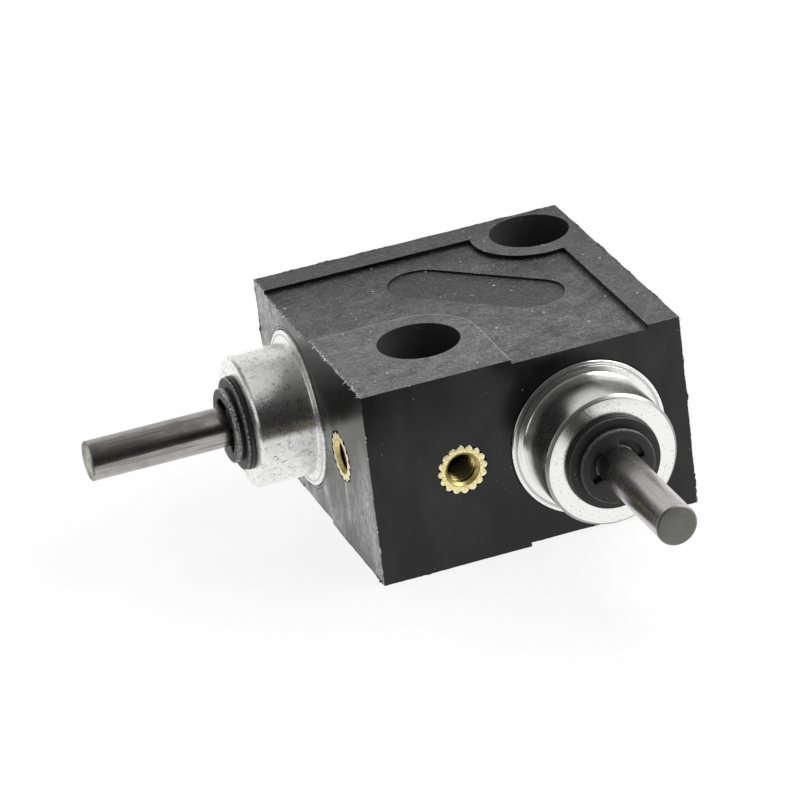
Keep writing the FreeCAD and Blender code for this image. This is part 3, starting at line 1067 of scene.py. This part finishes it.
studio = {
    "floorSize": 6.0, "floorDrop": 0.00005, "floorColor": 0.92, "floorGlow": 0.88, "worldFill": 0.28,
    "boxes": {
        "rightSoftbox": {"place": (1.25, -0.1, 1.25), "lean": (0, 45), "size": (1.4, 2.2), "power": 42.0},
        "backSoftbox": {"place": (-0.3, 1.5, 1.0), "lean": (-56, 0), "size": (1.6, 1.0), "power": 17.0},
    },
    "cardRadius": 1.6, "cardSteps": 32,
    "cards": {
        "frontCard": {"across": (-3.0, 1.0), "turn": (0, 40), "glow": (0.03, 0.055)},
        "overCard": {"across": (-3.0, 0.75), "turn": (40, 125), "glow": (0.055, 0.42)},
        "backCard": {"across": (-0.6, 3.0), "turn": (125, 172), "glow": (0.6, 0.75)},
        "leftCard": {"across": (-3.0, -0.6), "turn": (125, 172), "glow": (0.15, 0.3)},
    },
    "tableCard": {"edge": (-0.025, -0.051, 0.0), "turn": -38.7, "size": 1.5, "lift": 0.0002, "glow": 0.055},
}


def pathRays(tree):
    rays = newNode(tree, "ShaderNodeLightPath").outputs
    return most(rays["Is Camera Ray"], rays["Is Glossy Ray"], rays["Is Transmission Ray"])


def makeWorld():
    world = bpy.data.worlds.new("studio")
    world.use_nodes = True
    back = world.node_tree.nodes["Background"]
    back.inputs["Color"].default_value = (1, 1, 1, 1)
    feed(back, "Strength", remap(pathRays(world.node_tree), 0.0, 1.0, studio["worldFill"], 1.0))
    bpy.context.scene.world = world


def makeFloor():
    bm = bmesh.new()
    bmesh.ops.create_grid(bm, x_segments=4, y_segments=4, size=studio["floorSize"] / 2)
    bmesh.ops.translate(bm, vec=(0, 0, cadBox[0].z - studio["floorDrop"]), verts=bm.verts)
    material, shader = newMaterial("paleFloor", Roughness=0.9, Specular_IOR_Level=0.0)
    shader.inputs["Base Color"].default_value = grey(studio["floorColor"])
    tree = material.node_tree
    glow = newNode(tree, "ShaderNodeEmission", {"Color": (1, 1, 1, 1), "Strength": 1.0})
    share = times(pathRays(tree), studio["floorGlow"])
    mixed = newNode(tree, "ShaderNodeMixShader", {0: share, 1: shader.outputs[0], 2: glow.outputs[0]})
    feed(tree.nodes["Material Output"], "Surface", mixed.outputs[0])
    floor = meshObject("floor", bm, material)


def dimCard(name, bm, near, far, glow):
    # glow runs from one place along Y to another; only reflections see the card
    material, _ = newMaterial(name)
    tree = material.node_tree
    along = axesOf(newNode(tree, "ShaderNodeTexCoord").outputs["Object"])[1]
    light = newNode(tree, "ShaderNodeEmission", {"Strength": remap(along, near, far, *glow)})
    feed(tree.nodes["Material Output"], "Surface", light.outputs[0])
    card = meshObject(name, bm, material)
    card.visible_camera = card.visible_diffuse = card.visible_shadow = False


def makeCards():
    # dim cards round the set, for the dark bands in the metal
    radius = studio["cardRadius"]
    for name, card in studio["cards"].items():
        first, last = [math.radians(turn) for turn in card["turn"]]
        near, far = -radius * math.cos(first), -radius * math.cos(last)
        bm = bmesh.new()
        ends = [bm.verts.new((x, near, radius * math.sin(first))) for x in card["across"]]
        edge = bm.edges.new(ends)
        bmesh.ops.spin(
            bm, geom=[*ends, edge], cent=(0, 0, 0), axis=(1, 0, 0), dvec=(0, 0, 0),
            angle=first - last, steps=studio["cardSteps"],
        )
        dimCard(name, bm, near, far, card["glow"])


def makeTableCard():
    # a dim sheet on the table, in front of the part
    card = studio["tableCard"]
    half = card["size"] / 2
    bm = bmesh.new()
    bmesh.ops.create_grid(bm, x_segments=1, y_segments=1, size=half)
    bmesh.ops.translate(bm, vec=(0, -half, card["lift"]), verts=bm.verts)
    turn = Matrix.Rotation(math.radians(card["turn"]), 3, "Z")
    bmesh.ops.rotate(bm, cent=(0, 0, 0), matrix=turn, verts=bm.verts)
    bmesh.ops.translate(bm, vec=card["edge"], verts=bm.verts)
    dimCard("tableCard", bm, -half, half, (card["glow"], card["glow"]))


def makeLights():
    for name, box in studio["boxes"].items():
        data = bpy.data.lights.new(name, "AREA")
        data.shape, data.energy = "RECTANGLE", box["power"]
        data.size, data.size_y = box["size"]
        light = bpy.data.objects.new(name, data)
        light.location = box["place"]
        light.rotation_euler = (*[math.radians(turn) for turn in box["lean"]], 0)
        bpy.context.collection.objects.link(light)


cameraSizes = {
    "lens": 203.975, "sensor": 36.0, "clip": (0.01, 20.0),
    "azimuth": -16.681, "elevation": 25.057, "roll": 7.203, "distance": 546.43,
    "target": (-4.75, -6.75, 12.0), "slideRight": -8.306, "slideDown": -0.886,
}


def makeCamera():
    size = cameraSizes
    azimuth, elevation, roll = [math.radians(size[key]) for key in ("azimuth", "elevation", "roll")]
    flat = math.cos(elevation)
    back = Vector((math.sin(azimuth) * flat, -math.cos(azimuth) * flat, math.sin(elevation)))
    level = (-back).cross(Vector((0, 0, 1))).normalized()
    plumb = (-back).cross(level)
    right = level * math.cos(roll) + plumb * math.sin(roll)
    down = plumb * math.cos(roll) - level * math.sin(roll)
    place = Vector(size["target"]) + back * size["distance"]
    place += right * size["slideRight"] + down * size["slideDown"]
    data = bpy.data.cameras.new("camera")
    data.lens, data.sensor_width = size["lens"], size["sensor"]
    data.clip_start, data.clip_end = size["clip"]
    camera = bpy.data.objects.new("camera", data)
    turn = Matrix((right, -down, back)).transposed().to_4x4()
    camera.matrix_world = Matrix.Translation(place * mm) @ turn
    bpy.context.collection.objects.link(camera)
    bpy.context.scene.camera = camera


makeWorld()
makeFloor()
makeCards()
makeTableCard()
makeLights()
makeCamera()
bpy.context.scene.view_settings.view_transform = "Standard"
print("studio set")
